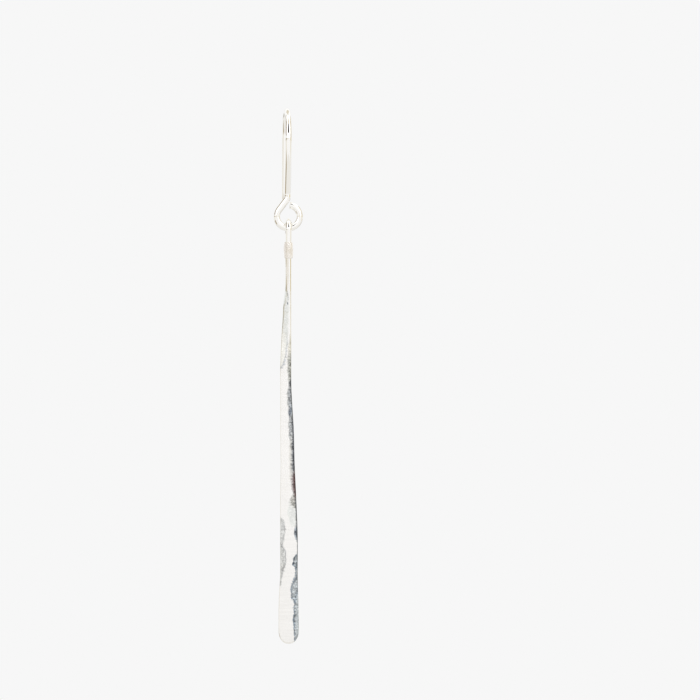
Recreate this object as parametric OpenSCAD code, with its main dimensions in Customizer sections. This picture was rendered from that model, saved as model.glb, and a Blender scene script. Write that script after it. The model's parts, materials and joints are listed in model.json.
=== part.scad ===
// Bar earring: a hammered bar that hangs by its soldered eye in the loop of a wire ear hook.
// The origin is the inside top of the hook's bend. +Z is up and the front faces -Y.

/* [Ear hook] */
// Diameter of the hook's wire
hook_wire_d = 0.78; // [0.6:0.01:0.9]
// Inside radius of the bend that goes through the ear
bend_r = 3; // [2.6:0.1:3.6]
// Depth from the inside top of the bend to the middle of the loop's lowest wire
hook_drop = 13.4; // [12:0.1:18]
// Radius of the gentle curve between the bend and the stem, along the wire's middle
stem_curve_r = 14; // [10:0.5:16]
// Angle that the gentle curve turns through
stem_curve_turn = 12; // [4:1:14]
// Angle by which the tail leans out behind
tail_lean = 6; // [0:1:10]
// Depth from the inside top of the bend to the tip of the tail
tail_drop = 10.3; // [8:0.1:11]
// Radius of the flare at the end of the tail, along the wire's middle
flare_r = 7; // [4:0.5:10]
// Angle that the flare turns through
flare_turn = 14; // [4:1:18]

/* [Loop of the hook] */
// Inside radius of the loop
loop_r = 0.95; // [0.9:0.05:1.3]
// Distance from the stem's line to the middle of the loop
loop_shift = 0.1; // [0.04:0.02:0.3]
// How far ahead of the bend's middle the loop hangs
loop_ahead = 1.1; // [0.8:0.1:1.4]
// Radius of the ankle that turns the stem's foot upright, along the wire's middle
ankle_r = 0.9; // [0.7:0.1:1.1]
// Height of the ankle's corner above the knee
ankle_rise = 0.35; // [0.3:0.05:0.6]
// Slant of the shoulder that leads from the stem into the loop
shoulder_slant = 37; // [30:1:40]
// Radius of the knee between the stem and the shoulder, along the wire's middle
knee_r = 0.7; // [0.5:0.05:0.9]
// Gap between the loop's cut end and the outside of the knee
loop_end_gap = 0.05; // [0.04:0.01:0.12]

/* [Eye of the bar] */
// Diameter of the wire in the eye
eye_wire_d = 0.72; // [0.6:0.01:0.8]
// Clearance under the eye's top, where it hangs on the hook's loop
eye_gap = 0.05; // [0.03:0.01:0.1]
// Room in the eye beside the hook's wire
eye_room = 0.28; // [0.1:0.01:0.3]
// Depth from the hook's wire to the foot of the eye, where the two legs meet
eye_drop = 1.75; // [1.6:0.05:2.4]
// Length over which the wire's end is soldered to the neck
lap_len = 1.75; // [1.2:0.05:2.5]
// Gap between the neck and the wire's end, which the solder fills
lap_gap = 0.03; // [0.02:0.01:0.06]
// Diameter of the solder at its middle
solder_d = 1.12; // [1:0.02:1.3]

/* [Bar] */
// Length from the hook's wire to the tip of the bar
bar_len = 48.8; // [35:0.5:60]
// Diameter of the round neck
neck_d = 0.76; // [0.7:0.02:1]
// Width of the paddle end
blade_w = 2.4; // [2:0.1:3.2]
// Thickness of the flattened blade
blade_t = 0.44; // [0.36:0.02:0.6]
// Length of the rounded tip
tip_len = 1.55; // [1:0.05:2]
// Steepest slope that a hammer mark gives the face
mark_slope = 15; // [4:1:18]

/* [Hidden] */
$fn = 48;

// Steps across one face of the blade, and rings along its length and round its tip.
face_steps = 14;
blade_rings = 132;
tip_rings = 9;
// The powers that round the tip's outline, its thickness and a hammer mark's floor, and the share of the
// thickness that every mark leaves.
tip_outline_power = 0.9;
tip_thickness_power = 0.5;
mark_power = 1.4;
least_left_share = 0.25;

// Columns of a wire's steps: the roll about the wire, the bend and its radius, and the straight run after it.
ROLL = 0;
BEND = 1;
RADIUS = 2;
RUN = 3;
// Where two stretches of a wire meet: how far each stops short, and how much wider the ball between them is.
joint_gap = 0.015;
joint_proud = 0.02;

hook_r = hook_wire_d / 2;
bend_mid_r = bend_r + hook_r;
loop_mid_r = loop_r + hook_r;

// The shoulder is tangent to the loop, and a knee rounds the corner where it meets the stem's foot.
shoulder_run = (loop_mid_r * cos(shoulder_slant) - loop_shift) / sin(shoulder_slant);
corner_z = loop_mid_r * (1 + sin(shoulder_slant)) + shoulder_run * cos(shoulder_slant);
knee_cut = knee_r * tan(shoulder_slant / 2);

// The stem's line is tangent to the gentle curve. It leans back to the ankle's corner, where the wire turns
// upright, so that the loop hangs flat to the front and the weight about under the bend.
stem_offset = bend_mid_r * cos(stem_curve_turn) + stem_curve_r * (1 - cos(stem_curve_turn));
ankle_depth = hook_drop - bend_r - corner_z - knee_cut - ankle_rise;
ankle_reach = norm([loop_ahead, ankle_depth]);
reach_angle = asin(stem_offset / ankle_reach);
stem_lean = reach_angle - atan(loop_ahead / ankle_depth);
curve_start = stem_lean - stem_curve_turn;
ankle_cut = ankle_r * tan(stem_lean / 2);
stem_top = ankle_reach * cos(reach_angle) - (stem_curve_r - bend_mid_r) * sin(stem_curve_turn);
stem_run = stem_top - ankle_cut;
ankle_run = ankle_rise - ankle_cut;

// The loop goes round until its outer edge is the gap away from the outside of the knee.
loop_outer_r = loop_r + hook_wire_d;
knee_x = -knee_r - loop_shift;
knee_z = corner_z + knee_cut - loop_mid_r;
knee_reach = knee_r + hook_r + loop_end_gap;
knee_away = norm([knee_x, knee_z]);
end_cosine = (pow(loop_outer_r, 2) + pow(knee_away, 2) - pow(knee_reach, 2)) / (2 * loop_outer_r * knee_away);
end_spread = acos(end_cosine);
loop_end_angle = atan2(knee_z, knee_x) - end_spread;

// The tail's straight length is what is left between the bend and the flare.
tail_end = tail_lean + flare_turn;
flare_depth = flare_r * (sin(tail_end) - sin(tail_lean));
bend_back_z = bend_mid_r * sin(tail_lean) - bend_r;
tail_run = (tail_drop - hook_r + bend_back_z - flare_depth) / cos(tail_lean);

// The eye's bend is centred a little below the hook's wire, and both legs are tangent to it.
eye_r = eye_wire_d / 2;
neck_r = neck_d / 2;
eye_mid_r = hook_r + eye_room + eye_r;
eye_sink = eye_room - eye_gap;
lap_y = neck_r + lap_gap + eye_r;
leg_drop = eye_drop - eye_sink;
back_lean = asin(eye_mid_r / leg_drop);
back_run = sqrt(pow(leg_drop, 2) - pow(eye_mid_r, 2));
front_reach = norm([lap_y, leg_drop]);
front_lean = asin(eye_mid_r / front_reach) - atan(lap_y / leg_drop);
front_run = sqrt(pow(front_reach, 2) - pow(eye_mid_r, 2));

// The wire's end stops a little short of the solder, which bulges in the middle and thins to its ends.
lap_share = 0.86;
solder_share = 1.12;
solder_thin_share = 0.55;
solder_steps = 12;
lap_end_run = lap_len * lap_share;
solder_len = lap_len * solder_share;

// The blade starts below the solder. Its columns are shares: of the blade's length, then of the way from
// the neck's size to the blade's.
blade_start = eye_drop + lap_len;
blade_len = bar_len - blade_start;
ALONG = 0;
LEFT = 1;
RIGHT = 2;
FLAT = 3;
outline = [
    // along, left side, right side, flatness
    [0.000, 0.00, 0.00, 0.00],
    [0.083, 0.00, 0.00, 0.00],
    [0.122, 0.26, -0.01, 0.25],
    [0.156, 0.35, -0.02, 0.40],
    [0.200, 0.51, -0.03, 0.58],
    [0.252, 0.64, -0.04, 0.72],
    [0.291, 0.71, -0.05, 0.80],
    [0.343, 0.69, -0.01, 0.84],
    [0.447, 0.69, 0.32, 0.90],
    [0.530, 0.64, 0.44, 0.94],
    [0.613, 0.69, 0.65, 0.97],
    [0.717, 0.69, 0.87, 1.00],
    [0.821, 0.69, 0.87, 1.00],
    [0.862, 0.83, 0.92, 1.00],
    [0.904, 0.92, 0.99, 1.00],
    [1.000, 0.92, 1.07, 1.00],
];

// Hammer marks on the front. Places and half sizes are shares of the blade's length and of half its width,
// and the last column is a share of the steepest slope.
MARK_ALONG = 0;
MARK_ACROSS = 1;
MARK_LENGTH = 2;
MARK_BREADTH = 3;
MARK_DEPTH = 4;
marks = [
    // along, across, half length, half breadth, depth
    [0.174, -0.79, 0.117, 0.78, 0.4],
    [0.239, 0.15, 0.036, 0.16, 0.3],
    [0.286, 0.23, 0.039, 0.37, 0.8],
    [0.331, 0.22, 0.013, 0.16, 1.0],
    [0.364, 0.29, 0.034, 0.38, 0.9],
    [0.400, 0.43, 0.026, 0.34, 0.9],
    [0.444, 0.53, 0.039, 0.52, 1.0],
    [0.488, 0.61, 0.036, 0.26, 0.9],
    [0.530, 0.65, 0.036, 0.36, 1.0],
    [0.585, 0.81, 0.036, 0.49, 1.0],
    [0.626, 0.87, 0.018, 0.72, 0.5],
    [0.707, 1.17, 0.117, 0.42, 0.9],
    [0.712, 0.82, 0.018, 0.28, 0.9],
    [0.787, 0.85, 0.021, 0.47, 0.9],
    [0.813, 1.02, 0.026, 0.34, 0.9],
    [0.862, 0.97, 0.036, 0.78, 1.0],
    [0.901, 1.17, 0.023, 0.61, 0.9],
    [0.938, 1.17, 0.029, 0.75, 1.0],
    [0.982, 1.17, 0.023, 0.67, 1.0],
    [0.709, -0.84, 0.039, 0.52, 0.6],
    [0.779, -0.86, 0.042, 0.63, 0.7],
    [0.460, -0.47, 0.050, 0.50, 0.1],
    [0.560, -0.37, 0.045, 0.60, 0.1],
    [0.650, -0.52, 0.030, 0.50, 0.1],
    [0.885, -0.42, 0.035, 0.60, 0.1],
];

// A smooth curve through one column of a table, at a share s along it.
function row_below(table, s, i = 0) =
    i >= len(table) - 2 || table[i + 1][ALONG] > s ? i : row_below(table, s, i + 1);
function slope_at(table, column, i) =
    let(a = max(i - 1, 0), b = min(i + 1, len(table) - 1))
    (table[b][column] - table[a][column]) / (table[b][ALONG] - table[a][ALONG]);
function along_curve(table, column, s) =
    let(
        i = row_below(table, s),
        h = table[i + 1][ALONG] - table[i][ALONG],
        t = min(max((s - table[i][ALONG]) / h, 0), 1),
        p = table[i][column],
        q = table[i + 1][column],
        m = slope_at(table, column, i) * h,
        n = slope_at(table, column, i + 1) * h
    )
    p + m * t + (3 * (q - p) - 2 * m - n) * t * t + (2 * (p - q) + m + n) * t * t * t;

// Depth of the deepest hammer mark at a share s along the blade and x across it.
function mark_depth(s, x) = max([
    for (k = marks)
        let(
            breadth = k[MARK_BREADTH] * blade_w / 2,
            a = (s - k[MARK_ALONG]) / k[MARK_LENGTH],
            b = (x - k[MARK_ACROSS] * blade_w / 2) / breadth,
            deepest = k[MARK_DEPTH] * tan(mark_slope) * breadth / mark_power
        )
        max(1 - pow(a * a + b * b, mark_power / 2), 0) * deepest
]);

// One ring of the blade: across the front from left to right, and back behind.
function ring(s, scale_x, scale_y) =
    let(
        grown = blade_w / 2 - neck_r,
        left = neck_r + grown * along_curve(outline, LEFT, s),
        right = neck_r + grown * along_curve(outline, RIGHT, s),
        flat = along_curve(outline, FLAT, s),
        half_t = neck_r + (blade_t / 2 - neck_r) * flat,
        middle = (right - left) / 2,
        half_w = (right + left) / 2,
        roundness = 2 + flat
    )
    [
        for (i = [0:2 * face_steps - 1])
            let(
                front = i < face_steps,
                u = sin(-90 + 180 * (front ? i : 2 * face_steps - i) / face_steps),
                x = (middle + half_w * u) * scale_x,
                y = half_t * pow(max(1 - pow(abs(u), roundness), 0), 1 / roundness),
                left_over = front ? max(1 - mark_depth(s, x) / half_t, least_left_share) : 1
            )
            [x, (front ? -1 : 1) * y * left_over * scale_y, -blade_start - s * blade_len]
    ];

module wire(steps, wire_d, round_end = false, i = 0) {
    // Draws a wire that starts at the origin and heads up, with each bend towards +X after its roll. The
    // stretches stop short of each other, inside a ball that is a hair wider than the wire.
    if (i < len(steps)) {
        bend = steps[i][BEND];
        radius = steps[i][RADIUS];
        run = steps[i][RUN];
        rotate([0, 0, steps[i][ROLL]]) {
            if (bend > 0 && radius > 0) {
                trim = joint_gap / radius * 180 / PI;
                translate([radius, 0, 0])
                    rotate([90, 0, 0])
                        rotate([0, 0, 180 - bend + trim])
                            rotate_extrude(angle = bend - 2 * trim)
                                translate([radius, 0])
                                    circle(d = wire_d);
            }
            translate([radius * (1 - cos(bend)), 0, radius * sin(bend)])
                rotate([0, bend, 0]) {
                    if (run > 0) {
                        if (radius > 0) sphere(d = wire_d + joint_proud);
                        translate([0, 0, joint_gap])
                            cylinder(d = wire_d, h = run - 2 * joint_gap);
                    }
                    translate([0, 0, run]) {
                        if (round_end || i < len(steps) - 1) sphere(d = wire_d + joint_proud);
                        wire(steps, wire_d, round_end, i + 1);
                    }
                }
        }
    }
}

module ear_hook() {
    front = [
        // roll, bend, radius, run
        [0, 180 + curve_start - tail_lean, bend_mid_r, 0],
        [0, stem_curve_turn, stem_curve_r, stem_run],
        [180, stem_lean, ankle_r, ankle_run],
        [90, shoulder_slant, knee_r, shoulder_run - knee_cut],
        [180, 180 + shoulder_slant + loop_end_angle, loop_mid_r, 0],
    ];
    tail = [
        [0, 0, 0, tail_run],
        [0, flare_turn, flare_r, 0],
    ];
    color("gainsboro")
        translate([0, bend_mid_r * cos(tail_lean), bend_back_z])
            rotate([tail_lean, 0, 0]) {
                rotate([0, 0, -90]) {
                    sphere(d = hook_wire_d + joint_proud);
                    wire(front, hook_wire_d);
                }
                rotate([180, 0, 90])
                    wire(tail, hook_wire_d, round_end = true);
            }
}

module eye() {
    // From the wire's soldered end up in front, over the hook's wire and down behind to the neck
    steps = [
        // roll, bend, radius, run
        [0, 0, 0, lap_end_run],
        [180, front_lean, 0, front_run],
        [180, 180 + back_lean + front_lean, eye_mid_r, back_run],
    ];
    translate([0, -lap_y, -eye_drop - lap_end_run])
        rotate([0, 0, 90])
            wire(steps, eye_wire_d, round_end = true);
}

module solder() {
    // A spindle between the neck and the wire's end
    outer = [
        for (i = [0:solder_steps])
            let(t = 2 * i / solder_steps - 1)
            [solder_d / 2 * (1 - solder_thin_share * t * t), t * solder_len / 2]
    ];
    translate([0, -lap_y / 2, -eye_drop - lap_len / 2])
        rotate_extrude()
            polygon(concat([[0, -solder_len / 2]], outer, [[0, solder_len / 2]]));
}

module blade() {
    // Rings from the foot of the eye through the neck to the tip, which narrows as an ellipse does
    tip_share = tip_len / blade_len;
    neck_share = -lap_len / blade_len;
    body = [
        for (i = [0:blade_rings])
            let(s = neck_share + (1 - tip_share - neck_share) * i / blade_rings)
            ring(s, 1, 1)
    ];
    tip = [
        for (i = [1:tip_rings])
            let(a = 90 * i / (tip_rings + 0.5))
            ring(1 - tip_share * (1 - sin(a)), pow(cos(a), tip_outline_power), pow(cos(a), tip_thickness_power))
    ];
    rings = concat(body, tip);
    around = 2 * face_steps;
    last = len(rings) - 1;
    points = [for (r = rings, p = r) p];
    sides = [
        for (i = [0:last - 1], j = [0:around - 1])
            let(
                k = (j + 1) % around,
                a = i * around + j,
                b = i * around + k,
                c = a + around,
                d = b + around
            )
            each [[a, b, d], [a, d, c]]
    ];
    top = [for (j = [around - 1:-1:0]) j];
    foot = [for (j = [0:around - 1]) last * around + j];
    polyhedron(points, concat(sides, [top, foot]));
}

module bar() {
    color("silver")
        translate([loop_shift, -loop_ahead, -hook_drop]) {
            eye();
            solder();
            blade();
        }
}

ear_hook();
bar();
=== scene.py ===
import json
import math

import bpy
import numpy as np
from mathutils import Euler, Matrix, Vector


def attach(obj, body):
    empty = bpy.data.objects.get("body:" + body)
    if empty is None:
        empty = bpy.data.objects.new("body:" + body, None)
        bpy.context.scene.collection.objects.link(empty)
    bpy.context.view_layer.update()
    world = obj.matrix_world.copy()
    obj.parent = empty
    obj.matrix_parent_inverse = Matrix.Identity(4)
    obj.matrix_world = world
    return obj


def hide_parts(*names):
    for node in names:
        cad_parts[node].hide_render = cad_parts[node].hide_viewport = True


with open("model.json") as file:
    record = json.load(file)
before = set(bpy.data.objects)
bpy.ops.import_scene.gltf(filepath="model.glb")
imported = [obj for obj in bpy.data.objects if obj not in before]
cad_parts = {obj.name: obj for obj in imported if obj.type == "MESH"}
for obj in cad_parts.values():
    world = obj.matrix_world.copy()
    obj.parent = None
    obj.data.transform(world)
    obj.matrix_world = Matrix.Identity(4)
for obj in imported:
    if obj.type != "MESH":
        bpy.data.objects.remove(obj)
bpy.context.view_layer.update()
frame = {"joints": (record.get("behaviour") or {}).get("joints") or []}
mm = 0.001
pivot = Vector(frame["joints"][0]["pos_m"])  # middle of the wire that the bar hangs on


# Helpers

def linear(code):
    # An sRGB hex colour as the linear one that a shader takes
    parts = [int(code[i:i + 2], 16) / 255 for i in (0, 2, 4)]
    return [p / 12.92 if p <= 0.04045 else ((p + 0.055) / 1.055) ** 2.4 for p in parts] + [1.0]


def addNode(tree, kind, inputs=None, **settings):
    # Adds a node: inputs are fixed values, or sockets to link from
    node = tree.nodes.new(kind)
    for name, value in settings.items():
        setattr(node, name, value)
    for key, value in (inputs or {}).items():
        if isinstance(value, bpy.types.NodeSocket):
            tree.links.new(value, node.inputs[key])
        else:
            node.inputs[key].default_value = value
    return node


def newMaterial(name):
    material = bpy.data.materials.new(name)
    material.use_nodes = True
    material.node_tree.nodes.clear()
    return material, material.node_tree


def addObject(name, data):
    obj = bpy.data.objects.new(name, data)
    bpy.context.scene.collection.objects.link(obj)
    return obj


def meshObject(name, points, faces, material):
    mesh = bpy.data.meshes.new(name)
    mesh.from_pydata([tuple(p) for p in points], [], faces)
    mesh.materials.append(material)
    mesh.shade_smooth()
    return addObject(name, mesh)


# Materials: lengths in mm, measured on the piece. In a Mix node, sockets 2 and 3 are the two values and 6
# and 7 the two colours.

polishedLook = {
    "colour": "fcfbf8", "roughness": (0.03, 0.09), "markWidth": 0.05, "markLength": 2.0,
}


def makePolishedSilver():
    # Sterling silver wire, drawn and polished: mirror bright, so it shows the studio as thin bright and dark
    # lines, and long faint marks make it a little less sharp in places.
    look = polishedLook
    material, tree = newMaterial("Polished drawn sterling silver")
    place = addNode(tree, "ShaderNodeTexCoord").outputs["Object"]
    width, length = look["markWidth"] * mm, look["markLength"] * mm
    marks = addNode(tree, "ShaderNodeMapping", {
        "Vector": place, "Scale": (1 / width, 1 / width, 1 / length)})
    scratches = addNode(tree, "ShaderNodeTexNoise", {
        "Vector": marks.outputs[0], "Scale": 1.0, "Detail": 2.0})
    rough = addNode(tree, "ShaderNodeMapRange", {
        "Value": scratches.outputs["Fac"], "To Min": look["roughness"][0], "To Max": look["roughness"][1]})
    shader = addNode(tree, "ShaderNodeBsdfPrincipled", {
        "Base Color": linear(look["colour"]), "Metallic": 1.0, "Roughness": rough.outputs[0]})
    addNode(tree, "ShaderNodeOutputMaterial", {"Surface": shader.outputs[0]})
    return material


hammeredLook = {
    "upper": "fdfcfa", "lower": "f8f7f4", "lowerFrom": -38.0, "lowerTo": -58.0,
    "workedFrom": -21.0, "workedTo": -28.0,  # heights between which polished wire becomes satin blade
    "neckRoughness": 0.06, "roughness": (0.14, 0.26), "cloudSize": 1.6,
    "lineLength": 2.5, "lineSpacing": 0.14, "lineDepth": 0.02, "lineStrength": 0.3,
    "lineTone": (0.95, 1.0), "hatchTone": (0.86, 1.1),
    "speckWidth": 0.2, "speckHeight": 0.15, "speckTone": (0.44, 1.42),
    "blotchSize": 0.7, "blotchTone": (1.0, 0.55),
    "mottling": (1.0, 0.12),  # of a dark facet and of a pale one
    "raggedEdge": 1.6,
}


def makeHammeredSilver():
    # Sterling silver forged flat: a white satin face with fine lines across it, and hammered facets painted
    # darker, grey to slate blue,
    # and mottled: painted reflections of the dark surroundings. The facets' colour and cover are the piece's
    # own attribute.
    # The lines are finer in real metal, and are drawn as coarse as they need to show.
    look = hammeredLook
    material, tree = newMaterial("Hammered satin sterling silver")
    place = addNode(tree, "ShaderNodeTexCoord").outputs["Object"]
    height = addNode(tree, "ShaderNodeSeparateXYZ", {0: place}).outputs["Z"]
    length, spacing = look["lineLength"] * mm, look["lineSpacing"] * mm
    across = addNode(tree, "ShaderNodeMapping", {
        "Vector": place, "Scale": (1 / length, 1 / length, 1 / spacing)})
    lines = addNode(tree, "ShaderNodeTexNoise", {
        "Vector": across.outputs[0], "Scale": 1.0, "Detail": 3.0, "Roughness": 0.6})
    # The white face: a little greyer towards the tip, and scored by the lines
    lower = addNode(tree, "ShaderNodeMapRange", {
        "Value": height, "From Min": look["lowerFrom"] * mm, "From Max": look["lowerTo"] * mm})
    clean = addNode(tree, "ShaderNodeMix", {
        "Factor": lower.outputs[0], 6: linear(look["upper"]), 7: linear(look["lower"])}, data_type="RGBA")
    scored = addNode(tree, "ShaderNodeMapRange", {
        "Value": lines.outputs["Fac"], "From Min": 0.35, "From Max": 0.7,
        "To Min": look["lineTone"][0], "To Max": look["lineTone"][1]})
    face = addNode(tree, "ShaderNodeVectorMath", {
        0: clean.outputs[2], "Scale": scored.outputs[0]}, operation="SCALE")
    # Mottling: fine specks, larger blotches and the lines. Dark facets have it in full, pale ones hardly.
    width, tall = look["speckWidth"] * mm, look["speckHeight"] * mm
    specks = addNode(tree, "ShaderNodeMapping", {
        "Vector": place, "Scale": (1 / width, 1 / width, 1 / tall)})
    mottle = addNode(tree, "ShaderNodeTexNoise", {
        "Vector": specks.outputs[0], "Scale": 1.0, "Detail": 2.0, "Roughness": 0.7})
    speckle = addNode(tree, "ShaderNodeMapRange", {
        "Value": mottle.outputs["Fac"], "From Min": 0.4, "From Max": 0.6,
        "To Min": look["speckTone"][0], "To Max": look["speckTone"][1]})
    blotches = addNode(tree, "ShaderNodeTexNoise", {
        "Vector": place, "Scale": 1 / (look["blotchSize"] * mm), "Detail": 3.0})
    pits = addNode(tree, "ShaderNodeMapRange", {
        "Value": blotches.outputs["Fac"], "From Min": 0.54, "From Max": 0.64,
        "To Min": look["blotchTone"][0], "To Max": look["blotchTone"][1]})
    hatch = addNode(tree, "ShaderNodeMapRange", {
        "Value": lines.outputs["Fac"], "From Min": 0.42, "From Max": 0.58,
        "To Min": look["hatchTone"][0], "To Max": look["hatchTone"][1]})
    spotted = addNode(tree, "ShaderNodeMath", {
        0: speckle.outputs[0], 1: pits.outputs[0]}, operation="MULTIPLY")
    stain = addNode(tree, "ShaderNodeMath", {
        0: spotted.outputs[0], 1: hatch.outputs[0]}, operation="MULTIPLY")
    # Painted reflections on the facets: their colour and cover, read from the bar's attribute
    struck = addNode(tree, "ShaderNodeAttribute", attribute_name="struck")
    brightness = addNode(tree, "ShaderNodeRGBToBW", {"Color": struck.outputs["Color"]})
    darkness = addNode(tree, "ShaderNodeMapRange", {
        "Value": brightness.outputs[0], "From Min": 0.42, "From Max": 0.85,
        "To Min": look["mottling"][0], "To Max": look["mottling"][1]})
    tone = addNode(tree, "ShaderNodeMix", {
        "Factor": darkness.outputs[0], 2: 1.0, 3: stain.outputs[0]}, data_type="FLOAT")
    speckled = addNode(tree, "ShaderNodeVectorMath", {
        0: struck.outputs["Color"], "Scale": tone.outputs[0]}, operation="SCALE")
    # The facets' cover fades over a fraction of a millimetre, and the mottling breaks up that edge
    brokenUp = addNode(tree, "ShaderNodeMath", {
        0: mottle.outputs["Fac"], 1: look["raggedEdge"], 2: struck.outputs["Alpha"],
    }, operation="MULTIPLY_ADD")
    cover = addNode(tree, "ShaderNodeMapRange", {
        "Value": brokenUp.outputs[0], "From Min": 1.14, "From Max": 1.46})
    colour = addNode(tree, "ShaderNodeMix", {
        "Factor": cover.outputs[0], 6: face.outputs[0], 7: speckled.outputs[0]}, data_type="RGBA")
    # Polished at the neck, satin and slightly scored below it
    worked = addNode(tree, "ShaderNodeMapRange", {
        "Value": height, "From Min": look["workedFrom"] * mm, "From Max": look["workedTo"] * mm})
    clouds = addNode(tree, "ShaderNodeTexNoise", {
        "Vector": place, "Scale": 1 / (look["cloudSize"] * mm), "Detail": 2.0})
    satin = addNode(tree, "ShaderNodeMapRange", {
        "Value": clouds.outputs["Fac"], "To Min": look["roughness"][0], "To Max": look["roughness"][1]})
    rough = addNode(tree, "ShaderNodeMix", {
        "Factor": worked.outputs[0], 2: look["neckRoughness"], 3: satin.outputs[0]}, data_type="FLOAT")
    relief = addNode(tree, "ShaderNodeMath", {
        0: lines.outputs["Fac"], 1: worked.outputs[0]}, operation="MULTIPLY")
    bump = addNode(tree, "ShaderNodeBump", {
        "Height": relief.outputs[0], "Strength": look["lineStrength"], "Distance": look["lineDepth"] * mm})
    shader = addNode(tree, "ShaderNodeBsdfPrincipled", {
        "Base Color": colour.outputs[2], "Metallic": 1.0, "Roughness": rough.outputs[0],
        "Normal": bump.outputs[0]})
    addNode(tree, "ShaderNodeOutputMaterial", {"Surface": shader.outputs[0]})
    return material


frostedLook = {
    "white": "fdfaf6", "cream": "f1ede8", "cloudSize": 0.8, "roughness": (0.5, 0.6), "grainSize": 0.16,
    "stain": "e2dcd1", "shadeWidth": 0.55, "shadeHeight": 0.95,
}


def makeFrostedSilver():
    # Solder and silver that were heated and pickled: matt, and whiter than polished metal. The real grain is
    # finer, and is drawn as coarse as it needs to show.
    look = frostedLook
    material, tree = newMaterial("Frosted silver solder")
    place = addNode(tree, "ShaderNodeTexCoord").outputs["Object"]
    grain = addNode(tree, "ShaderNodeTexNoise", {
        "Vector": place, "Scale": 1 / (look["grainSize"] * mm), "Detail": 2.0})
    clouds = addNode(tree, "ShaderNodeTexNoise", {
        "Vector": place, "Scale": 1 / (look["cloudSize"] * mm), "Detail": 1.0})
    pale = addNode(tree, "ShaderNodeMix", {
        "Factor": clouds.outputs["Fac"], 6: linear(look["white"]), 7: linear(look["cream"]),
    }, data_type="RGBA")
    # Painted shade: a faint warm grey darkening on the middle of the lump, in place of the darker reflection
    # there
    middle = pivot - Vector((0, 0, eye["drop"] + eye["lapLength"] / 2)) * mm
    offset = addNode(tree, "ShaderNodeVectorMath", {0: place, 1: middle}, operation="SUBTRACT")
    spread = addNode(tree, "ShaderNodeMapping", {
        "Vector": offset.outputs[0],
        "Scale": (1 / (look["shadeWidth"] * mm), 0, 1 / (look["shadeHeight"] * mm))})
    share = addNode(tree, "ShaderNodeTexGradient", {
        "Vector": spread.outputs[0]}, gradient_type="QUADRATIC_SPHERE")
    colour = addNode(tree, "ShaderNodeMix", {
        "Factor": share.outputs["Fac"], 6: pale.outputs[2], 7: linear(look["stain"])}, data_type="RGBA")
    rough = addNode(tree, "ShaderNodeMapRange", {
        "Value": grain.outputs["Fac"], "To Min": look["roughness"][0], "To Max": look["roughness"][1]})
    shader = addNode(tree, "ShaderNodeBsdfPrincipled", {
        "Base Color": colour.outputs[2], "Metallic": 1.0, "Roughness": rough.outputs[0]})
    addNode(tree, "ShaderNodeOutputMaterial", {"Surface": shader.outputs[0]})
    return material


# Wires: a path of straight runs and bends, swept by Geometry Nodes

def wirePath(steps, spacing):
    # Points of a wire that starts at the origin and heads up. Each step rolls about the wire, bends towards
    # its own +X, and runs straight on: (roll, bend, radius, run) in degrees and mm.
    place, turn = Vector((0, 0, 0)), Euler((0, 0, 0)).to_matrix()
    points = [place.copy()]
    for roll, bend, radius, run in steps:
        turn = turn @ Euler((0, 0, math.radians(roll))).to_matrix()
        arc = math.radians(bend)
        count = max(1, math.ceil(arc * radius / spacing)) if arc * radius > 0 else 0
        for i in range(1, count + 1):
            a = arc * i / count
            points.append(place + turn @ Vector((radius * (1 - math.cos(a)), 0, radius * math.sin(a))))
        place = points[-1].copy()
        turn = turn @ Euler((0, arc, 0)).to_matrix()
        count = max(1, math.ceil(run / spacing)) if run > 0 else 0
        for i in range(1, count + 1):
            points.append(place + turn @ Vector((0, 0, run * i / count)))
        place = points[-1].copy()
    return points


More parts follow.
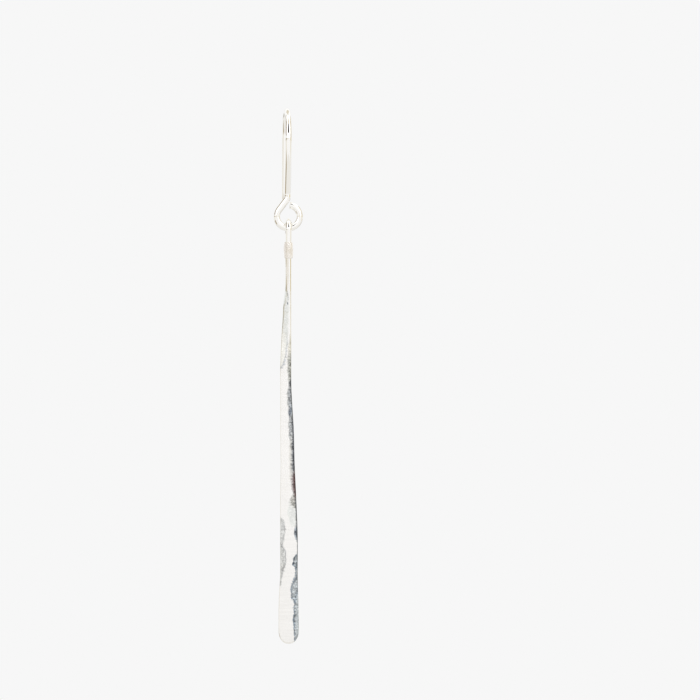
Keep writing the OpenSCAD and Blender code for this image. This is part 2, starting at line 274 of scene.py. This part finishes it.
def wireTree():
    tree = bpy.data.node_groups.new("Wire along a path", "GeometryNodeTree")
    sockets = [
        ("Path", "NodeSocketGeometry", None), ("Wire Radius", "NodeSocketFloat", 0.4 * mm),
        ("Point Spacing", "NodeSocketFloat", 0.04 * mm), ("Sides", "NodeSocketInt", 40),
        ("Start Rounding", "NodeSocketFloat", 0.1 * mm), ("End Rounding", "NodeSocketFloat", 0.1 * mm),
        ("Material", "NodeSocketMaterial", None)]
    for name, kind, value in sockets:
        socket = tree.interface.new_socket(name, in_out="INPUT", socket_type=kind)
        if value is not None:
            socket.default_value = value
    tree.interface.new_socket("Wire", in_out="OUTPUT", socket_type="NodeSocketGeometry")
    given = addNode(tree, "NodeGroupInput").outputs
    path = addNode(tree, "GeometryNodeResampleCurve", {
        "Curve": given["Path"], "Length": given["Point Spacing"]}, mode="LENGTH")
    along = addNode(tree, "GeometryNodeSplineParameter").outputs["Length"]
    whole = addNode(tree, "GeometryNodeSplineLength").outputs["Length"]
    left = addNode(tree, "ShaderNodeMath", {0: whole, 1: along}, operation="SUBTRACT").outputs[0]
    overOne = 1.003  # so that a cut end keeps a small flat
    shares = []
    for distance, rounding in ((along, "Start Rounding"), (left, "End Rounding")):
        # A quarter circle over the rounded length, then the full radius
        t = addNode(tree, "ShaderNodeMath", {
            0: distance, 1: given[rounding]}, operation="DIVIDE", use_clamp=True).outputs[0]
        back = addNode(tree, "ShaderNodeMath", {0: 1.0, 1: t}, operation="SUBTRACT").outputs[0]
        square = addNode(tree, "ShaderNodeMath", {0: back, 1: 2.0}, operation="POWER").outputs[0]
        rest = addNode(tree, "ShaderNodeMath", {0: overOne, 1: square}, operation="SUBTRACT").outputs[0]
        root = addNode(tree, "ShaderNodeMath", {0: rest, 1: 0.5}, operation="POWER", use_clamp=True)
        shares.append(root.outputs[0])
    share = addNode(tree, "ShaderNodeMath", {0: shares[0], 1: shares[1]}, operation="MULTIPLY").outputs[0]
    ring = addNode(tree, "GeometryNodeCurvePrimitiveCircle", {
        "Resolution": given["Sides"], "Radius": given["Wire Radius"]})
    swept = addNode(tree, "GeometryNodeCurveToMesh", {
        "Curve": path.outputs[0], "Profile Curve": ring.outputs[0], "Scale": share, "Fill Caps": True})
    smooth = addNode(tree, "GeometryNodeSetShadeSmooth", {"Geometry": swept.outputs[0]})
    real = addNode(tree, "GeometryNodeRealizeInstances", {"Geometry": smooth.outputs[0]})
    dressed = addNode(tree, "GeometryNodeSetMaterial", {
        "Geometry": real.outputs[0], "Material": given["Material"]})
    addNode(tree, "NodeGroupOutput", {"Wire": dressed.outputs[0]})
    return tree


def sweepWire(name, points, tree, values):
    # Puts the tree on a path of points in mm, and keeps its result as a plain mesh
    curve = bpy.data.curves.new(name + "Path", "CURVE")
    curve.dimensions = "3D"
    spline = curve.splines.new("POLY")
    spline.points.add(len(points) - 1)
    for point, target in zip(points, spline.points):
        target.co = (*(point * mm), 1)
    holder = addObject(name + "Path", curve)
    modifier = holder.modifiers.new("Wire", "NODES")
    modifier.node_group = tree
    for socket in tree.interface.items_tree:
        if socket.in_out == "INPUT" and socket.name in values:
            modifier[socket.identifier] = values[socket.name]
    ready = holder.evaluated_get(bpy.context.evaluated_depsgraph_get())
    mesh = bpy.data.meshes.new_from_object(ready)
    bpy.data.objects.remove(holder)
    mesh.name = name
    return addObject(name, mesh)


hook = {
    "wireDiameter": 0.78, "bendRadius": 3.0, "drop": 13.4,
    "stemCurveRadius": 14.0, "stemCurveTurn": 12.0,
    "tailLean": 6.0, "tailDrop": 10.3, "flareRadius": 7.0, "flareTurn": 14.0,
    "loopRadius": 0.95, "loopShift": 0.1, "loopAhead": 1.1, "ankleRadius": 0.9, "ankleRise": 0.35,
    "shoulderSlant": 37.0, "kneeRadius": 0.7, "loopEndGap": 0.05,
    "endRounding": 0.06, "pointSpacing": 0.05, "sides": 56,
}


def makeHook(tree, material):
    size = hook
    wireRadius = size["wireDiameter"] / 2
    bendMiddle = size["bendRadius"] + wireRadius
    loopMiddle = size["loopRadius"] + wireRadius
    slant = math.radians(size["shoulderSlant"])
    shoulderRun = (loopMiddle * math.cos(slant) - size["loopShift"]) / math.sin(slant)
    cornerHeight = loopMiddle * (1 + math.sin(slant)) + shoulderRun * math.cos(slant)
    kneeCut = size["kneeRadius"] * math.tan(slant / 2)
    # The stem's line is tangent to the gentle curve and leans back to the ankle, which turns it upright
    turn = math.radians(size["stemCurveTurn"])
    offset = bendMiddle * math.cos(turn) + size["stemCurveRadius"] * (1 - math.cos(turn))
    ankleDepth = size["drop"] - size["bendRadius"] - cornerHeight - kneeCut - size["ankleRise"]
    ankleReach = math.hypot(size["loopAhead"], ankleDepth)
    reachAngle = math.asin(offset / ankleReach)
    lean = reachAngle - math.atan(size["loopAhead"] / ankleDepth)
    ankleCut = size["ankleRadius"] * math.tan(lean / 2)
    stemTop = ankleReach * math.cos(reachAngle) - (size["stemCurveRadius"] - bendMiddle) * math.sin(turn)
    # The loop goes round until its outer edge is the gap away from the outside of the knee
    kneeX, kneeZ = -size["kneeRadius"] - size["loopShift"], cornerHeight + kneeCut - loopMiddle
    outside = size["loopRadius"] + size["wireDiameter"]
    kneeReach = size["kneeRadius"] + wireRadius + size["loopEndGap"]
    between = math.hypot(kneeX, kneeZ)
    spread = math.acos((outside ** 2 + between ** 2 - kneeReach ** 2) / (2 * outside * between))
    loopEnd = math.degrees(math.atan2(kneeZ, kneeX) - spread)
    front = [
        (0, 180 + math.degrees(lean) - size["stemCurveTurn"] - size["tailLean"], bendMiddle, 0),
        (0, size["stemCurveTurn"], size["stemCurveRadius"], stemTop - ankleCut),
        (180, math.degrees(lean), size["ankleRadius"], size["ankleRise"] - ankleCut),
        (90, size["shoulderSlant"], size["kneeRadius"], shoulderRun - kneeCut),
        (180, 180 + size["shoulderSlant"] + loopEnd, loopMiddle, 0),
    ]
    tailLean = math.radians(size["tailLean"])
    tailEnd = math.radians(size["tailLean"] + size["flareTurn"])
    backHeight = bendMiddle * math.sin(tailLean) - size["bendRadius"]
    flareDepth = size["flareRadius"] * (math.sin(tailEnd) - math.sin(tailLean))
    tail = [
        (0, 0, 0, (size["tailDrop"] - wireRadius + backHeight - flareDepth) / math.cos(tailLean)),
        (0, size["flareTurn"], size["flareRadius"], wireRadius),
    ]
    start = Vector((0, bendMiddle * math.cos(tailLean), backHeight))
    upright = Euler((tailLean, 0, 0)).to_matrix()
    frontTurn = upright @ Euler((0, 0, math.radians(-90))).to_matrix()
    tailTurn = upright @ Euler((math.pi, 0, math.radians(90))).to_matrix()
    tailPoints = [start + tailTurn @ p for p in wirePath(tail, size["pointSpacing"])]
    frontPoints = [start + frontTurn @ p for p in wirePath(front, size["pointSpacing"])]
    return sweepWire("earHook", tailPoints[:0:-1] + frontPoints, tree, {
        "Wire Radius": wireRadius * mm, "Point Spacing": size["pointSpacing"] * mm, "Sides": size["sides"],
        "Start Rounding": wireRadius * mm, "End Rounding": size["endRounding"] * mm, "Material": material})


eye = {
    "wireDiameter": 0.72, "gap": 0.05, "room": 0.28, "drop": 1.75,
    "lapLength": 1.75, "lapShare": 0.86, "lapGap": 0.03,
    "endRounding": 0.1, "pointSpacing": 0.04, "sides": 48,
}


def makeEye(tree, material):
    # From the wire's soldered end up in front, over the hook's wire and down behind, into the neck
    size = eye
    hookRadius = hook["wireDiameter"] / 2
    wireRadius = size["wireDiameter"] / 2
    middle = hookRadius + size["room"] + wireRadius
    lapForward = blade["neckDiameter"] / 2 + size["lapGap"] + wireRadius
    legDrop = size["drop"] - (size["room"] - size["gap"])
    backLean = math.asin(middle / legDrop)
    reach = math.hypot(lapForward, legDrop)
    frontLean = math.asin(middle / reach) - math.atan(lapForward / legDrop)
    lapRun = size["lapLength"] * size["lapShare"]
    steps = [
        (0, 0, 0, lapRun),
        (180, math.degrees(frontLean), 0, math.sqrt(reach ** 2 - middle ** 2)),
        (180, 180 + math.degrees(backLean + frontLean), middle, math.sqrt(legDrop ** 2 - middle ** 2)),
    ]
    start = pivot / mm + Vector((0, -lapForward, -size["drop"] - lapRun))
    turn = Euler((0, 0, math.radians(90))).to_matrix()
    points = [start + turn @ p for p in wirePath(steps, size["pointSpacing"])]
    return sweepWire("eyeWire", points, tree, {
        "Wire Radius": wireRadius * mm, "Point Spacing": size["pointSpacing"] * mm, "Sides": size["sides"],
        "Start Rounding": size["endRounding"] * mm, "End Rounding": size["endRounding"] * mm,
        "Material": material})


# Solder, neck and blade

solder = {
    "width": 1.08, "depth": 1.9, "length": 2.0, "thinning": 0.12, "endPower": 8, "rings": 60, "sides": 64,
    # Share of the size, waves round the lump, waves along it, start
    "lumps": [(0.02, 3, 3, 0), (0.01, 2, -5, 1)],
}


def makeSolder(material):
    size = solder
    lapForward = blade["neckDiameter"] / 2 + eye["lapGap"] + eye["wireDiameter"] / 2
    middle = pivot / mm + Vector((0, -lapForward / 2, -eye["drop"] - eye["lapLength"] / 2))
    points = []
    for i in range(size["rings"]):
        t = -math.cos(math.pi * (i + 0.5) / size["rings"])
        full = (1 - size["thinning"] * t * t) * (1 - abs(t) ** size["endPower"]) ** (1 / size["endPower"])
        for j in range(size["sides"]):
            a = 2 * math.pi * j / size["sides"]
            lumps = sum((share * math.sin(p * a + q * t + r) for share, p, q, r in size["lumps"]), 1)
            x = size["width"] / 2 * full * lumps * math.cos(a)
            y = size["depth"] / 2 * full * lumps * math.sin(a)
            points.append((middle + Vector((x, y, -t * size["length"] / 2))) * mm)
    faces = tubeFaces(size["rings"], size["sides"])
    return meshObject("solder", points, faces, material)


def tubeFaces(rings, around):
    # Quads between rings, and a cap on each end
    faces = []
    for i in range(rings - 1):
        for j in range(around):
            k = (j + 1) % around
            faces.append((i * around + j, i * around + k, (i + 1) * around + k, (i + 1) * around + j))
    faces.append(tuple(range(around - 1, -1, -1)))
    faces.append(tuple((rings - 1) * around + j for j in range(around)))
    return faces


blade = {
    "neckDiameter": 0.76, "width": 2.4, "thickness": 0.44, "barLength": 48.8, "tipLength": 1.55,
    "tipRound": 0.9, "tipThinning": 0.5, "rings": 760, "tipRings": 40, "faceSteps": 60, "backSteps": 24,
    "tipEnd": 0.3,  # the tip's last ring stops this share of a step short of its point
    "markSlope": 15.0, "markPower": 1.4, "leastLeft": 0.25, "markEdge": 0.3, "markRim": 0.14, "rimReach": 1.4,
    "frontLimit": 0.02,  # the facets' colours end this far behind the middle of the thickness
    # How the marks' edges wander: size in mm, then waves along and across in radians per mm, and start
    "sidewaysWander": [(0.04, 1.7, 0.0, 1.3), (0.03, 4.9, 2.1, 0.0)],
    "lengthwaysWander": [(0.10, 1.7, 3.1, 0.0)],
    # Shares of the blade's length, then of the way from the neck's size to the blade's:
    # along, left side, right side, flatness
    "outline": [
        (0.000, 0.00, 0.00, 0.00), (0.083, 0.00, 0.00, 0.00), (0.122, 0.26, -0.01, 0.25),
        (0.156, 0.35, -0.02, 0.40), (0.200, 0.51, -0.03, 0.58), (0.252, 0.64, -0.04, 0.72),
        (0.291, 0.71, -0.05, 0.80), (0.343, 0.69, -0.01, 0.84), (0.447, 0.69, 0.32, 0.90),
        (0.530, 0.64, 0.44, 0.94), (0.613, 0.69, 0.65, 0.97), (0.717, 0.69, 0.87, 1.00),
        (0.821, 0.69, 0.87, 1.00), (0.862, 0.83, 0.92, 1.00), (0.904, 0.92, 0.99, 1.00),
        (1.000, 0.92, 1.07, 1.00),
    ],
    # Painted reflections on the hammered facets, as colours: fill and rim
    "paintedReflections": {
        "haze": ("ebedea", "eef0ec"), "ridge": ("f8f8f4", "c8ccd0"), "straw": ("e3e0d5", "e0ddd2"),
        "olive": ("b2b3ac", "d0d0ca"), "dark": ("55585c", "707376"), "grey": ("b0b3b4", "c0c1bf"),
        "blue": ("9ca5af", "a8aeb4"), "slate": ("74787c", "8c9093"), "red": ("8d827e", "8a807c"),
        "mist": ("dcdddb", "d0d1cf"), "steel": ("c2c8ca", "828e98"), "spot": ("66707c", "66707c"),
        "frost": ("d6d7d4", "b6b7b7"), "shade": ("dad9d4", "e0dfda"), "rose": ("ab9c9c", "b5adad"),
        "pewter": ("c2c1bb", "d8d7d3"),
    },
    # Painted shade along the right edge, where it reflects dark surroundings: start, end, breadth in mm,
    # colour
    "rightEdgeShade": [
        (0.31, 0.42, 0.20, "74787a"), (0.42, 0.53, 0.28, "5d6067"), (0.53, 0.56, 0.34, "56575b"),
        (0.56, 0.625, 0.38, "594442"), (0.625, 0.73, 0.23, "63676b"), (0.73, 0.84, 0.13, "74797e"),
    ],
    "edgeFade": 0.02, "edgeFull": 1.4,
    # Hammer marks, in shares of the blade's length and of half its width: along, across, half length and
    # half breadth, then the share of the full depth, and the painted reflection on it
    "marks": [
        (0.174, -0.79, 0.117, 0.78, 0.40, ""), (0.226, -0.89, 0.065, 0.78, 0.00, "ridge"),
        (0.146, -0.30, 0.073, 0.32, 0.00, "haze"), (0.098, -0.05, 0.012, 0.08, 0.20, "mist"),
        (0.120, -0.09, 0.0025, 0.05, 0.30, "spot"),
        (0.239, 0.15, 0.036, 0.16, 0.30, "straw"), (0.286, 0.23, 0.039, 0.37, 0.80, "olive"),
        (0.331, 0.22, 0.013, 0.16, 1.00, "dark"), (0.364, 0.27, 0.034, 0.42, 0.90, "grey"),
        (0.400, 0.41, 0.026, 0.38, 0.90, "blue"), (0.444, 0.52, 0.039, 0.55, 1.00, "grey"),
        (0.525, 0.50, 0.065, 0.42, 0.00, "shade"),
        (0.488, 0.61, 0.036, 0.26, 0.90, "slate"), (0.530, 0.65, 0.036, 0.36, 1.00, "slate"),
        (0.660, 0.53, 0.036, 0.60, 0.10, "haze"), (0.585, 0.81, 0.036, 0.49, 1.00, "rose"),
        (0.585, 0.93, 0.030, 0.30, 1.00, "red"), (0.629, 0.87, 0.024, 0.76, 0.50, "pewter"),
        (0.707, 1.17, 0.117, 0.42, 0.90, ""), (0.712, 0.82, 0.018, 0.28, 0.90, "blue"),
        (0.787, 0.85, 0.021, 0.47, 0.90, "steel"), (0.792, 0.48, 0.004, 0.10, 0.30, "spot"),
        (0.813, 1.02, 0.026, 0.34, 0.90, "steel"), (0.901, 1.17, 0.023, 0.61, 0.90, ""),
        (0.862, 0.97, 0.036, 0.78, 1.00, "steel"), (0.938, 1.17, 0.029, 0.75, 1.00, "steel"),
        (0.982, 1.17, 0.023, 0.67, 1.00, ""), (0.940, 1.26, 0.095, 0.76, 0.00, "steel"),
        (0.709, -0.84, 0.039, 0.52, 0.60, "mist"), (0.779, -0.86, 0.042, 0.63, 0.70, "frost"),
        (0.824, -0.97, 0.028, 0.38, 0.00, "mist"),
        (0.460, -0.47, 0.050, 0.50, 0.10, ""), (0.560, -0.37, 0.045, 0.60, 0.10, ""),
        (0.650, -0.52, 0.030, 0.50, 0.10, ""), (0.885, -0.42, 0.035, 0.60, 0.10, ""),
    ],
}


def alongCurve(column, s):
    # A smooth curve through one column of the outline, at shares s along it
    table = np.array(blade["outline"])
    at, value = table[:, 0], table[:, column]
    before, after = np.maximum(np.arange(len(at)) - 1, 0), np.minimum(np.arange(len(at)) + 1, len(at) - 1)
    slope = (value[after] - value[before]) / (at[after] - at[before])
    i = np.clip(np.searchsorted(at, s, side="right") - 1, 0, len(at) - 2)
    h = at[i + 1] - at[i]
    t = np.clip((s - at[i]) / h, 0, 1)
    p, q, m, n = value[i], value[i + 1], slope[i] * h, slope[i + 1] * h
    return p + m * t + (3 * (q - p) - 2 * m - n) * t ** 2 + (2 * (p - q) + m + n) * t ** 3


def ragged(s, x):
    # Shifts a place on the blade a little, so that the marks' edges aren't clean ellipses
    length = blade["barLength"] - eye["drop"] - eye["lapLength"]
    z = s * length
    shift = sum(high * np.sin(p * z + q * x + r) for high, p, q, r in blade["sidewaysWander"])
    rise = sum(high * np.sin(p * z + q * x + r) for high, p, q, r in blade["lengthwaysWander"])
    return s + rise / length, x + shift


def markDepth(s, x):
    # Depth of the deepest hammer mark, at shares s along the blade and x mm across it
    s, x = ragged(s, x)
    depth = np.zeros(np.broadcast(s, x).shape)
    half = blade["width"] / 2
    for along, across, halfLength, halfBreadth, share, skin in blade["marks"]:
        a = (s - along) / halfLength
        b = (x - across * half) / (halfBreadth * half)
        deepest = share * math.tan(math.radians(blade["markSlope"])) * halfBreadth * half / blade["markPower"]
        depth = np.maximum(depth, np.maximum(1 - (a * a + b * b) ** (blade["markPower"] / 2), 0) * deepest)
    return depth


def markSkin(s, x):
    # Colour and cover of the painted reflections on the hammered facets: each fades at its edge and has a
    # darker painted rim, and later ones lie on top of earlier ones
    neck = blade["neckDiameter"] / 2
    half = blade["width"] / 2
    inward = neck + (half - neck) * alongCurve(2, s) - x
    s, x = ragged(s, x)
    colour = np.ones((*np.broadcast(s, x).shape, 3))
    cover = np.zeros((*np.broadcast(s, x).shape, 1))
    layers = []
    for along, across, halfLength, halfBreadth, share, name in blade["marks"]:
        if name:
            a = (s - along) / halfLength
            b = (x - across * half) / (halfBreadth * half)
            inside = (1 - np.sqrt(a * a + b * b)) * halfBreadth * half
            rim = np.clip(blade["rimReach"] - inside / blade["markRim"], 0, 1)[..., None]
            fill, edge = (np.array(linear(code)[:3]) for code in blade["paintedReflections"][name])
            fade = min(blade["markEdge"], halfBreadth * half)
            layers.append((fill + rim * (edge - fill), np.clip(inside / fade + 0.5, 0, 1)[..., None]))
    # The painted shade along the right edge, on top of the facets' painted reflections
    for start, end, breadth, code in blade["rightEdgeShade"]:
        ends = np.clip(np.minimum(s - start, end - s) / blade["edgeFade"] + 0.5, 0, 1)
        side = np.clip(blade["edgeFull"] * (1 - inward / breadth), 0, 1)
        layers.append((np.array(linear(code)[:3]), (side * ends)[..., None]))
    for tone, share in layers:
        total = share + cover * (1 - share)
        weight = share / np.maximum(total, 1e-6)
        colour = colour + weight * (tone - colour)
        cover = total
    return np.concatenate([colour, cover], axis=-1)


def makeBlade(material):
    # Rings from the foot of the eye through the round neck to the tip, which narrows as an ellipse does
    size = blade
    neck = size["neckDiameter"] / 2
    start = eye["drop"] + eye["lapLength"]
    length = size["barLength"] - start
    tipShare = size["tipLength"] / length
    turns = np.radians(90 * np.arange(1, size["tipRings"] + 1) / (size["tipRings"] + size["tipEnd"]))
    straight = np.linspace(-eye["lapLength"] / length, 1 - tipShare, size["rings"])
    s = np.concatenate([straight, 1 - tipShare * (1 - np.sin(turns))])[:, None]
    shrink = np.concatenate([np.ones(size["rings"]), np.cos(turns)])[:, None]
    frontSteps, backSteps = size["faceSteps"], size["backSteps"]
    around = frontSteps + backSteps
    step = np.arange(around)[None, :]
    front = step < frontSteps
    u = np.sin(np.radians(-90 + 180 * np.where(front, step / frontSteps, (around - step) / backSteps)))
    grown = size["width"] / 2 - neck
    left = neck + grown * alongCurve(1, s)
    right = neck + grown * alongCurve(2, s)
    flat = alongCurve(3, s)
    halfThick = neck + (size["thickness"] / 2 - neck) * flat
    x = ((right - left) / 2 + (right + left) / 2 * u) * shrink ** size["tipRound"]
    roundness = 2 + flat
    y = halfThick * np.maximum(1 - np.abs(u) ** roundness, 0) ** (1 / roundness)
    leftOver = np.maximum(1 - markDepth(s, x) / halfThick, size["leastLeft"])
    y = np.where(front, -y * leftOver, y) * shrink ** size["tipThinning"]
    z = np.broadcast_to(-start - s * length, x.shape)
    points = (np.stack([x, y, z], axis=-1).reshape(-1, 3) + np.array(pivot / mm)) * mm
    faces = tubeFaces(len(s), around)
    return meshObject("blade", points, faces, material)


def fuse(base, others):
    # Joins soldered metal into one closed mesh, each part with its own material
    pieces = [base, *others]
    materials = [piece.data.materials[0] for piece in pieces]
    for i, piece in enumerate(pieces):
        piece.data.materials.clear()
        for material in materials:
            piece.data.materials.append(material)
        piece.data.polygons.foreach_set("material_index", [i] * len(piece.data.polygons))
    for other in others:
        modifier = base.modifiers.new("Join", "BOOLEAN")
        modifier.operation = "UNION"
        modifier.solver = "MANIFOLD"
        modifier.object = other
    ready = base.evaluated_get(bpy.context.evaluated_depsgraph_get())
    mesh = bpy.data.meshes.new_from_object(ready)
    name = base.name
    for piece in pieces:
        bpy.data.objects.remove(piece)
    return addObject(name, mesh)


def paintMarks(bar):
    # The attribute that the hammered finish reads: colour and cover of the painted reflection on each facet,
    # on the bar's front
    mesh = bar.data
    spots = np.empty(len(mesh.vertices) * 3)
    mesh.vertices.foreach_get("co", spots)
    x, y, z = (spots.reshape(-1, 3) / mm - np.array(pivot / mm)).T
    start = eye["drop"] + eye["lapLength"]
    skin = markSkin((-z - start) / (blade["barLength"] - start), x)
    skin[:, 3] *= y < blade["frontLimit"]
    layer = mesh.attributes.new("struck", "FLOAT_COLOR", "POINT")
    layer.data.foreach_set("color", skin.ravel())


# Studio

studio = {
    "height": -30.0, "wall": "f7f7f7", "floor": "eeece8", "air": "ffffff", "airStrength": 1.05,
    "bowlRadius": 700.0, "floorDepth": 260.0, "corner": 110.0, "wallHeight": 700.0,
    "floorRings": (0.5, 100.0, 300.0), "cornerSteps": 16, "bowlSides": 96, "cardSteps": 12,
    # Cards as seen from the earring: name, azimuth and elevation of the edges, distance, colour, strength,
    # and how wide the top edge is beside the bottom one
    "cards": [
        ("frontUpper", (-60, 60), (6, 17), 560, "ffffff", 1.15, 1.0),
        ("neckPanel", (-60, 8), (2.0, 6), 560, "ebe6dd", 1.0, 1.0),
        ("neckLight", (8, 60), (2.0, 6), 560, "ffffff", 1.0, 1.0),
        ("frontPanel", (-60, 60), (-28, 2.0), 560, "fbfafa", 1.0, 1.0),
        ("overhead", (-110, 110), (17, 88), 560, "ffffff", 1.4, 1.0),
        ("darkAbove", (-31, 23), (24, 57), 540, "24150a", 1.0, 0.8),
        ("greyAbove", (-34, 42), (57, 130), 540, "ded6c4", 1.0, 1.0),
        ("lowLine", (-45, 30), (-42, -31), 540, "cfc5ae", 1.0, 1.0),
        ("leftStrip", (-112, -66), (-14, 2.0), 500, "ebe7dd", 1.0, 1.0),
        ("leftFlag", (-114, -64), (3.2, 6), 500, "a3977c", 1.0, 1.0),
        ("leftNeck", (-114, -64), (2.2, 3.2), 500, "cbc1a9", 1.0, 1.0),
        ("leftArc", (-118, -70), (11, 34), 500, "aea297", 1.0, 1.0),
        ("leftLow", (-122, -64), (-25, -14), 500, "b0a38c", 1.0, 1.0),
        ("leftHigh", (-130, -74), (34, 50), 500, "a59a84", 1.0, 1.0),
        ("rightHigh", (80, 125), (30, 46), 500, "cfc2a8", 1.0, 1.0),
        ("backPanel", (122, 215), (-45, -3), 520, "c6c2ba", 1.0, 1.0),
        ("leftFloor", (-128, -62), (-52, -25), 500, "b0a38c", 1.0, 1.0),
        ("rightStrip", (62, 102), (-14, 1.0), 500, "eae4d5", 1.0, 1.0),
        ("rightFlag", (62, 110), (1.0, 8), 500, "dccfae", 1.0, 1.0),
        ("rightArc", (70, 118), (8, 30), 500, "d9cfba", 1.0, 1.0),
    ],
}


def glow(name, code, strength):
    material, tree = newMaterial(name)
    shader = addNode(tree, "ShaderNodeEmission", {"Color": linear(code), "Strength": strength})
    addNode(tree, "ShaderNodeOutputMaterial", {"Surface": shader.outputs[0]})
    return material


def makeCards():
    # Glowing sheets on a ball round the earring: they light it and show in the metal, and the camera doesn't
    # see them
    steps = studio["cardSteps"]
    for name, azimuths, elevations, distance, code, strength, top in studio["cards"]:
        middle = (azimuths[0] + azimuths[1]) / 2
        points, faces = [], []
        for i in range(steps + 1):
            for j in range(steps + 1):
                a = azimuths[0] + (azimuths[1] - azimuths[0]) * i / steps
                a = math.radians(middle + (a - middle) * (1 + (top - 1) * j / steps))
                e = math.radians(elevations[0] + (elevations[1] - elevations[0]) * j / steps)
                direction = Vector((math.sin(a) * math.cos(e), -math.cos(a) * math.cos(e), math.sin(e)))
                points.append((direction * distance + Vector((0, 0, studio["height"]))) * mm)
        for i in range(steps):
            for j in range(steps):
                k = i * (steps + 1) + j
                faces.append((k, k + 1, k + steps + 2, k + steps + 1))
        card = meshObject(name, points, faces, glow(name, code, strength))
        card.visible_camera = False
        card.visible_shadow = False


def makeBowl():
    # A seamless round sweep of white paper: floor, corner and wall
    radius, corner = studio["bowlRadius"], studio["corner"]
    steps, around = studio["cornerSteps"], studio["bowlSides"]
    profile = [(r, 0) for r in studio["floorRings"]]
    for i in range(steps + 1):
        a = math.radians(90 * i / steps)
        profile.append((radius - corner + corner * math.sin(a), corner * (1 - math.cos(a))))
    profile.append((radius, studio["wallHeight"]))
    points, faces = [], []
    floor = studio["height"] - studio["floorDepth"]
    for r, z in profile:
        for j in range(around):
            a = 2 * math.pi * j / around
            points.append(Vector((r * math.cos(a), r * math.sin(a), floor + z)) * mm)
    for i in range(len(profile) - 1):
        for j in range(around):
            k = (j + 1) % around
            faces.append((i * around + j, i * around + k, (i + 1) * around + k, (i + 1) * around + j))
    faces.append(tuple(range(around)))
    # Evenly lit paper, a little darker and warmer on the floor than on the wall
    material, tree = newMaterial("White sweep paper, evenly lit")
    place = addNode(tree, "ShaderNodeTexCoord").outputs["Object"]
    height = addNode(tree, "ShaderNodeSeparateXYZ", {0: place}).outputs["Z"]
    share = addNode(tree, "ShaderNodeMapRange", {
        "Value": height, "From Min": floor * mm, "From Max": (floor + corner) * mm}).outputs[0]
    colour = addNode(tree, "ShaderNodeMix", {
        "Factor": share, 6: linear(studio["floor"]), 7: linear(studio["wall"])}, data_type="RGBA")
    shader = addNode(tree, "ShaderNodeEmission", {"Color": colour.outputs[2]})
    addNode(tree, "ShaderNodeOutputMaterial", {"Surface": shader.outputs[0]})
    bowl = meshObject("sweep", points, faces, material)


camera = {
    "distance": 400.0, "azimuth": 4.26, "height": -27.73, "rightShift": 7.42,
    "pixels": 700, "pixelsPerMm": 8.5, "sensorWidth": 36.0, "nearest": 10.0, "farthest": 10000.0,
}


def makeCamera():
    data = bpy.data.cameras.new("camera")
    turn = math.radians(camera["azimuth"])
    ahead = Vector((math.sin(turn), math.cos(turn), 0))
    right = Vector((math.cos(turn), -math.sin(turn), 0))
    frameWidth = camera["pixels"] / camera["pixelsPerMm"]
    data.sensor_width = camera["sensorWidth"]
    data.lens = data.sensor_width * camera["distance"] / frameWidth
    data.clip_start = camera["nearest"] * mm
    data.clip_end = camera["farthest"] * mm
    obj = addObject("camera", data)
    place = right * camera["rightShift"] - ahead * camera["distance"] + Vector((0, 0, camera["height"]))
    obj.location = place * mm
    obj.rotation_euler = ahead.to_track_quat("-Z", "Y").to_euler()
    bpy.context.scene.camera = obj


def makeWorld():
    world = bpy.data.worlds.new("studio")
    world.use_nodes = True
    world.node_tree.nodes.clear()
    light = addNode(world.node_tree, "ShaderNodeBackground", {
        "Color": linear(studio["air"]), "Strength": studio["airStrength"]})
    addNode(world.node_tree, "ShaderNodeOutputWorld", {"Surface": light.outputs[0]})
    bpy.context.scene.world = world
    bpy.context.scene.view_settings.view_transform = "Standard"


makeCamera()
makeWorld()
makeCards()
makeBowl()
print("Studio made")

polished = makePolishedSilver()
hammered = makeHammeredSilver()
frosted = makeFrostedSilver()
print("Materials made")

sweep = wireTree()
earHook = makeHook(sweep, polished)
print("Ear hook made:", len(earHook.data.polygons), "faces")

eyeWire = makeEye(sweep, polished)
solderLump = makeSolder(frosted)
bar = fuse(makeBlade(hammered), [solderLump, eyeWire])
bar.name = "hammeredBar"
paintMarks(bar)
print("Bar made:", len(bar.data.polygons), "faces")

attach(earHook, "hook")
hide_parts("ear_hook")
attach(bar, "drop")
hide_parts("bar")
